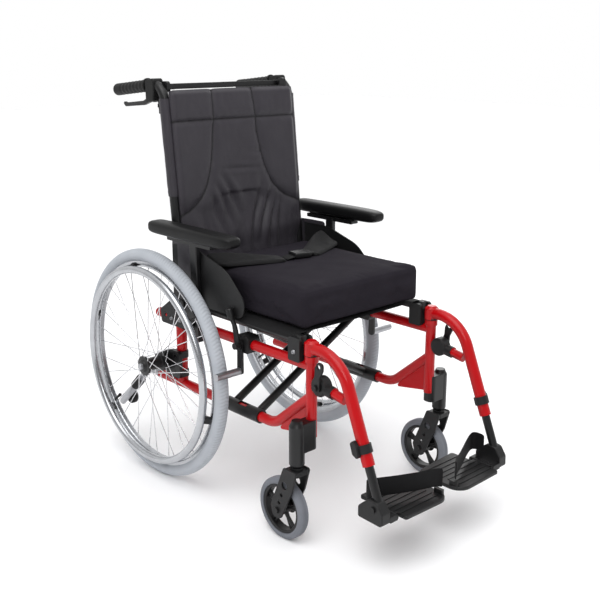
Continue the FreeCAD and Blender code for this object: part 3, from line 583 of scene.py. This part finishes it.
# %% The seams as distances
SWEEP = [
    (1002, 66), (930, 70), (890, 74), (850, 80), (818, 87), (790, 95.5),
    (765, 106), (744, 119), (727, 135), (714, 154), (703, 176), (694, 204),
]
# Each crease is a line, from x and z to x and z, with its depth and its width.
CREASES = [
    (104, 752, 56, 585, 4.2, 9), (116, 720, 88, 545, 4.0, 9), (74, 778, 24, 545, 3.6, 10),
    (-60, 790, -4, 675, 3.0, 9), (-104, 738, -60, 625, 2.8, 8), (-84, 765, -30, 650, 3.0, 8),
    (136, 705, 126, 575, 2.4, 9), (-134, 700, -104, 575, 2.2, 9), (30, 840, 100, 836, 1.2, 7),
    (-70, 802, 96, 794, 1.5, 6), (-20, 640, -8, 535, 2.4, 10), (-150, 660, -140, 540, 1.8, 11),
]


def to_line(x, z, x0, z0, x1, z1):
    """Distance from a line, and the share of the way along it."""
    dx, dz = x1 - x0, z1 - z0
    share = ((x - x0) * dx + (z - z0) * dz) / (dx * dx + dz * dz)
    near = min(1, max(0, share))
    return math.hypot(x - x0 - near * dx, z - z0 - near * dz), near


def to_seams(x, z):
    """Millimetres from the nearest seam of the back."""
    near = [abs(z - 928)]
    for (z0, x0), (z1, x1) in zip(SWEEP, SWEEP[1:]):
        near.append(to_line(abs(x), z, x0, z0, x1, z1)[0])
    return min(near)

# %% The panel
LEAN = 61 / 581


def post_y(z):
    return -63 + (z - 440) * LEAN


bm = bmesh.new()
bmesh.ops.create_grid(bm, x_segments=150, y_segments=186, size=0.5)
bmesh.ops.rotate(bm, verts=bm.verts, cent=(0, 0, 0), matrix=Matrix.Rotation(math.radians(90), 3, "X"))
# The "seam" layer carries painted shade along the quilting seams.
seam = bm.verts.layers.float.new("seam")
for vertex in bm.verts:
    z = 753.5 + vertex.co.z * 497
    wrap = ease(z, 588, 640)
    x = vertex.co.x * (382 + 22 * wrap)
    upper = ease(z, 693 + 40 * ease(abs(x), 110, 40), 745)
    puff = (1 - math.exp(-((to_seams(x, z) / 8) ** 1.3))) * (3.5 + 5 * upper)
    folds = 0
    for x0, z0, x1, z1, depth, width in CREASES:
        gap, share = to_line(x + 6 * math.sin(z / 31), z, x0, z0, x1, z1)
        fade = math.sin(math.pi * (0.06 + 0.88 * share)) ** 1.1
        ridge = 0.6 * math.exp(-(((gap - 1.9 * width) / width) ** 2))
        folds += 1.4 * depth * fade * (ridge - math.exp(-((gap / width) ** 2)))
    slack = 3.2 * (1 - upper) * noise.noise(Vector((x / 30, z / 85, 1.0)))
    fine = 0.5 * noise.noise(Vector((x / 14, z / 22, 4.0)))
    # Painted seam shade: near black on the seam line, gone a few millimetres away.
    vertex[seam] = 0.95 * math.exp(-((to_seams(x, z) / 3.6) ** 2.4))
    rim = ease(191 + 11 * wrap - abs(x), 0, 14) * ease(1002 - z, -1, 9) * ease(z - 505, -1, 8)
    belly = (4 + 8 * wrap) * ease(z, 560, 700) * ease(1002 - z, 0, 120)
    hollow = (1 - (x / 202) ** 2) * (belly + 13 * ease(z, 928, 1015))
    vertex.co = at(x, post_y(z) - 6 - 8 * wrap - rim * (puff + folds + slack + fine) + hollow, z)
bmesh.ops.recalc_face_normals(bm, faces=bm.faces)
bmesh.ops.solidify(bm, geom=bm.faces, thickness=0.004)
panel = make("back_panel", bm, "back", 60)
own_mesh(panel)
fit(panel, "right_frame", "back_fabric", "back_upholstery")

# %% [markdown]
# The panel is held by a sleeve over each post, sewn to it down a flat seam. The sleeve is a
# tube of the same cloth with a hem at its lower end and a few shallow ripples.

# %% Post sleeves
for side, sign in SIDES.items():
    bm = bmesh.new()
    bmesh.ops.create_cone(bm, cap_ends=False, segments=40, radius1=1, radius2=1, depth=1)
    walls = [e for e in bm.edges if abs(e.verts[0].co.z - e.verts[1].co.z) > 0.5]
    bmesh.ops.subdivide_edges(bm, edges=walls, cuts=44, use_grid_fill=True)
    for vertex in bm.verts:
        z = 745 + (vertex.co.z + 0.5) * 240
        turn = math.atan2(vertex.co.y, vertex.co.x)
        ripple = 0.6 * noise.noise(Vector((math.cos(turn) * 2, math.sin(turn) * 2, z / 26)))
        hem = 0.7 * math.exp(-(((z - 757) / 3) ** 2)) - 0.8 * math.exp(-(((z - 760) / 1.5) ** 2))
        size = 14.8 + ripple + hem
        vertex.co = at(sign * 205 + size * math.cos(turn), post_y(z) + size * 0.98 * math.sin(turn), z)
    bmesh.ops.recalc_face_normals(bm, faces=bm.faces)
    bmesh.ops.solidify(bm, geom=bm.faces, thickness=0.0014)
    sleeve = make(f"{side}_post_sleeve", bm, "back", 60)
    fit(sleeve, f"{side}_frame", "back_fabric")

# %% [markdown]
# A cloth flap closes the gap between the back post and the armrest, above the wheel. It keeps
# clothes off the tyre and is hemmed on all sides.

# %% Side flaps
for side, sign in SIDES.items():
    hem = ((221.5, -36), (223, -52), (226.5, -70), (228, -95), (227.5, -118), (228, -135))
    path = [at(sign * x, y, 585) for x, y in hem]
    flap = strip(f"{side}_side_flap", path, Vector((0, 0, 0.108)), 0.0014, "back")
    fit(flap, f"{side}_armrest", "back_fabric")

# %% [markdown]
# ## The lap belt
# Two padded wings meet at a side-release buckle. Each wing is a flat cloth bag of foam, bound
# round its edge, so it is fullest in the middle and pinched at the binding. It lies on the
# cushion, and webbing carries it down to the frame at each side.

# %% Padded wings
def wing(name, corners, lift):
    """A padded flat shape between four corners, bound round its edge."""
    bm = bmesh.new()
    bmesh.ops.create_grid(bm, x_segments=36, y_segments=16, size=1)
    for vertex in bm.verts:
        u, v = vertex.co.x, vertex.co.y
        squeeze = 1 - 0.12 * abs(u) ** 6 * abs(v) ** 6
        s, t = (u * squeeze + 1) / 2, (v * squeeze + 1) / 2
        a, b = corners[0].lerp(corners[1], s), corners[3].lerp(corners[2], s)
        rim = max(abs(u), abs(v))
        full = (1 - rim ** 6) ** 0.5 * 0.0095 + 0.0026 * math.exp(-(((rim - 0.93) / 0.035) ** 2))
        vertex.co = a.lerp(b, t)
        vertex.co.z += full + lift(s, t) + 0.0008 * noise.noise(Vector((u * 4, v * 2, 3.0)))
    bmesh.ops.recalc_face_normals(bm, faces=bm.faces)
    bmesh.ops.solidify(bm, geom=bm.faces, thickness=0.003)
    piece = make(name, bm, "webbing", 60)
    refine(piece)
    return piece


TOP = 591.5
right_corners = [at(-202, -218, TOP), at(-46, -286, TOP), at(-26, -228, TOP), at(-202, -140, TOP)]
left_corners = [at(202, -140, TOP), at(36, -232, TOP), at(54, -289, TOP), at(202, -218, TOP)]
right_wing = wing("right_belt_wing", right_corners, lambda s, t: 0.016 * ease(t, 0.2, 1) * ease(s, 1, 0.2))
left_wing = wing("left_belt_wing", left_corners, lambda s, t: 0.024 * ease(t, 0.9, 0) * ease(s, 1, 0.2))
fit(right_wing, None, "webbing", "lap_belt")
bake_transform(right_wing)
fit(left_wing, None, "webbing")
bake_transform(left_wing)

# %% [markdown]
# The buckle is two mouldings of black nylon: a shell with a window each side, and a tongue whose
# prongs show in the windows. The webbing tails are simple strips.

# %% Buckle
BLOCKS = [
    ((46, 42, 13), (14, -262, 600)), ((17, 34, 9), (44, -263, 599)),
    ((9, 6, 11), (26, -284, 600)), ((9, 6, 11), (26, -240, 600)),
]
bm = bmesh.new()
for size, place in BLOCKS:
    block = bmesh.ops.create_cube(bm, size=1)["verts"]
    bmesh.ops.scale(bm, verts=block, vec=Vector(size) / 1000)
    bmesh.ops.rotate(bm, verts=block, cent=(0, 0, 0), matrix=Matrix.Rotation(math.radians(-14), 3, "Z"))
    bmesh.ops.translate(bm, verts=block, vec=at(*place))
bmesh.ops.bevel(bm, geom=bm.edges[:], offset=0.0028, segments=3, profile=0.5, affect="EDGES", material=-1)
plates = [f for f in bm.faces if f.normal.z > 0.99 and f.calc_area() > 0.0003]
bmesh.ops.inset_individual(bm, faces=plates, thickness=0.003, depth=-0.0012)
buckle = make("belt_buckle", bm, "nylon")
fit(buckle, None, "webbing")
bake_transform(buckle)

# %% Webbing tails
for side, sign in SIDES.items():
    drop = ((200, 599), (204, 598), (207.5, 594), (209.5, 586), (210, 570), (210, 540), (209, 505))
    path = [at(sign * x, -183, z) for x, z in drop]
    tail = strip(f"{side}_belt_tail", path, Vector((0, 0.042, 0)), 0.002, "webbing")
    fit(tail, "brace_a" if side == "left" else "brace_b", "webbing")
path = [at(x, y, z) for x, y, z in ((-36, -256, 595), (-22, -259, 599), (-8, -261, 600))]
link = strip("belt_link", path, Vector((0.009, 0.037, 0)), 0.002, "webbing")
fit(link, None, "webbing")
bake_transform(link)

# %% [markdown]
# ## Heel straps
# Wide webbing runs from the footrest tube round behind the heel to the plate. Webbing is
# stiff across its width, so it stands up by itself and only bows along its length.

# %% Heel straps
HEEL = [
    (195, -728), (195, -712), (192, -700), (183, -697), (150, -711),
    (110, -731), (70, -751), (40, -764), (29, -771), (26, -778),
]
for side, sign in SIDES.items():
    path = [at(sign * x, y, 174 + 2 * math.sin(i)) for i, (x, y) in enumerate(HEEL)]
    heel = strip(f"{side}_heel_band", path, Vector((0, 0, 0.046)), 0.0024, "webbing")
    fit(heel, None, "webbing", f"{side}_heel_strap")
    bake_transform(heel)

# %% [markdown]
# ## Armrest pads
# Each pad is moulded foam with its own skin, rounded off at both ends. A rounded loop is
# extruded from station to station, wider or slimmer at each.

# %% Armrest pads
# Each station is its distance behind the axle, its half width, its top and its underside.
STATIONS = [
    (-2, 19, 683, 664), (-5, 23, 686, 659), (-14, 25.6, 688, 655.5), (-60, 26, 688.4, 655),
    (-150, 26, 689, 655), (-235, 26, 689, 655), (-285, 25.8, 688.6, 655.5), (-305, 24.6, 687.6, 657),
    (-316, 21.8, 685.6, 659.5), (-322, 17.5, 683, 663), (-325, 12, 680, 667),
]
for side, sign in SIDES.items():
    bm = bmesh.new()
    loop = bmesh.ops.create_circle(bm, cap_ends=False, segments=40, radius=1)["verts"]
    for vertex in loop:
        u, v = vertex.co.x, vertex.co.y
        vertex.co = Vector((math.copysign(abs(u) ** 0.55, u), 0, math.copysign(abs(v) ** 0.62, v)))
    unit = [vertex.co.copy() for vertex in loop]
    edges = bm.edges[:]
    for number, (y, half, top, low) in enumerate(STATIONS):
        if number:
            made = bmesh.ops.extrude_edge_only(bm, edges=edges)["geom"]
            edges = [item for item in made if isinstance(item, bmesh.types.BMEdge)]
            loop = [item for item in made if isinstance(item, bmesh.types.BMVert)]
        for vertex, shape in zip(loop, unit):
            skew = -sign * 3 * ease(-y, 275, 325)
            vertex.co = at(sign * 248 + shape.x * half + skew, y, (top + low) / 2 + shape.z * (top - low) / 2)
    bmesh.ops.holes_fill(bm, edges=bm.edges, sides=0)
    pad = make(f"{side}_arm_pad", bm, "skin", 60)
    refine(pad, 2)
    fit(pad, f"{side}_armrest", "pad_foam", f"{side}_armrest_pad")

# %% [markdown]
# ## Fittings
# Button-head bolts with a hexagon socket hold the clamps. Each starts as a short cone, its top
# is inset, and the inset is pushed in. Valve stems stand inside the rims.

# %% Bolts
def bolt(bm, place, way, radius=0.0055, height=0.0035):
    made = bmesh.ops.create_cone(
        bm, cap_ends=True, segments=24, radius1=radius, radius2=radius * 0.72, depth=height)
    head = made["verts"]
    faces = {face for vertex in head for face in vertex.link_faces}
    top = max(faces, key=lambda face: face.calc_center_median().z)
    bmesh.ops.inset_individual(bm, faces=[top], thickness=radius * 0.24, depth=0)
    made = bmesh.ops.extrude_discrete_faces(bm, faces=[top])["faces"]
    bmesh.ops.translate(bm, verts=made[0].verts[:], vec=(0, 0, -height * 0.6))
    bmesh.ops.remove_doubles(bm, verts=bm.verts, dist=1e-7)
    fresh = [v for v in bm.verts if not v.tag]
    turn = Vector(way).to_track_quat("Z", "Y").to_matrix()
    bmesh.ops.rotate(bm, verts=fresh, cent=(0, 0, 0), matrix=turn)
    bmesh.ops.translate(bm, verts=fresh, vec=place + Vector(way) * height * 0.5)
    for vertex in fresh:
        vertex.tag = True


BOLTS = [
    ((228, -503, 452), (1, 0, 0)), ((228, -110, 452), (1, 0, 0)), ((221, -60, 426), (1, 0, 0)),
    ((221, -22, 424), (1, 0, 0)), ((221, -56, 466), (1, 0, 0)),
]
for side, sign in SIDES.items():
    bm = bmesh.new()
    for (x, y, z), (wx, wy, wz) in BOLTS:
        bolt(bm, at(sign * x, y, z), (sign * wx, wy, wz))
    fit(make(f"{side}_frame_bolts", bm, "zinc"), f"{side}_frame", "grey_metal")

# %% Valve stems
for side, sign in SIDES.items():
    bm = bmesh.new()
    bmesh.ops.create_cone(bm, cap_ends=True, segments=20, radius1=0.0034, radius2=0.0034, depth=0.026)
    cap = bmesh.ops.create_cone(bm, cap_ends=True, segments=20, radius1=0.0046, radius2=0.004, depth=0.012)
    bmesh.ops.translate(bm, verts=cap["verts"], vec=(0, 0, -0.015))
    bmesh.ops.translate(bm, verts=bm.verts, vec=(0, 0, 0.247))
    bmesh.ops.rotate(bm, verts=bm.verts, cent=(0, 0, 0), matrix=Matrix.Rotation(math.radians(-128), 3, "X"))
    bmesh.ops.translate(bm, verts=bm.verts, vec=at(sign * 267, 0, 305))
    fit(make(f"{side}_valve", bm, "nylon"), f"{side}_wheel", "black_plastic")

# %% [markdown]
# ## Floor
# A plain pale floor that runs well past the edges of the view.

# %% Floor
material, tree, shader, place = begin("pale_matt_floor", Roughness=0.9, Specular_IOR_Level=0.2)
tone(tree, shader, place, "FBFBFC", "F7F7F8", 900)
bm = bmesh.new()
bmesh.ops.create_grid(bm, x_segments=1, y_segments=1, size=14)
mesh = bpy.data.meshes.new("floor")
bm.to_mesh(mesh)
bm.free()
mesh.materials.append(material)
floor = bpy.data.objects.new("floor", mesh)
scene.collection.objects.link(floor)
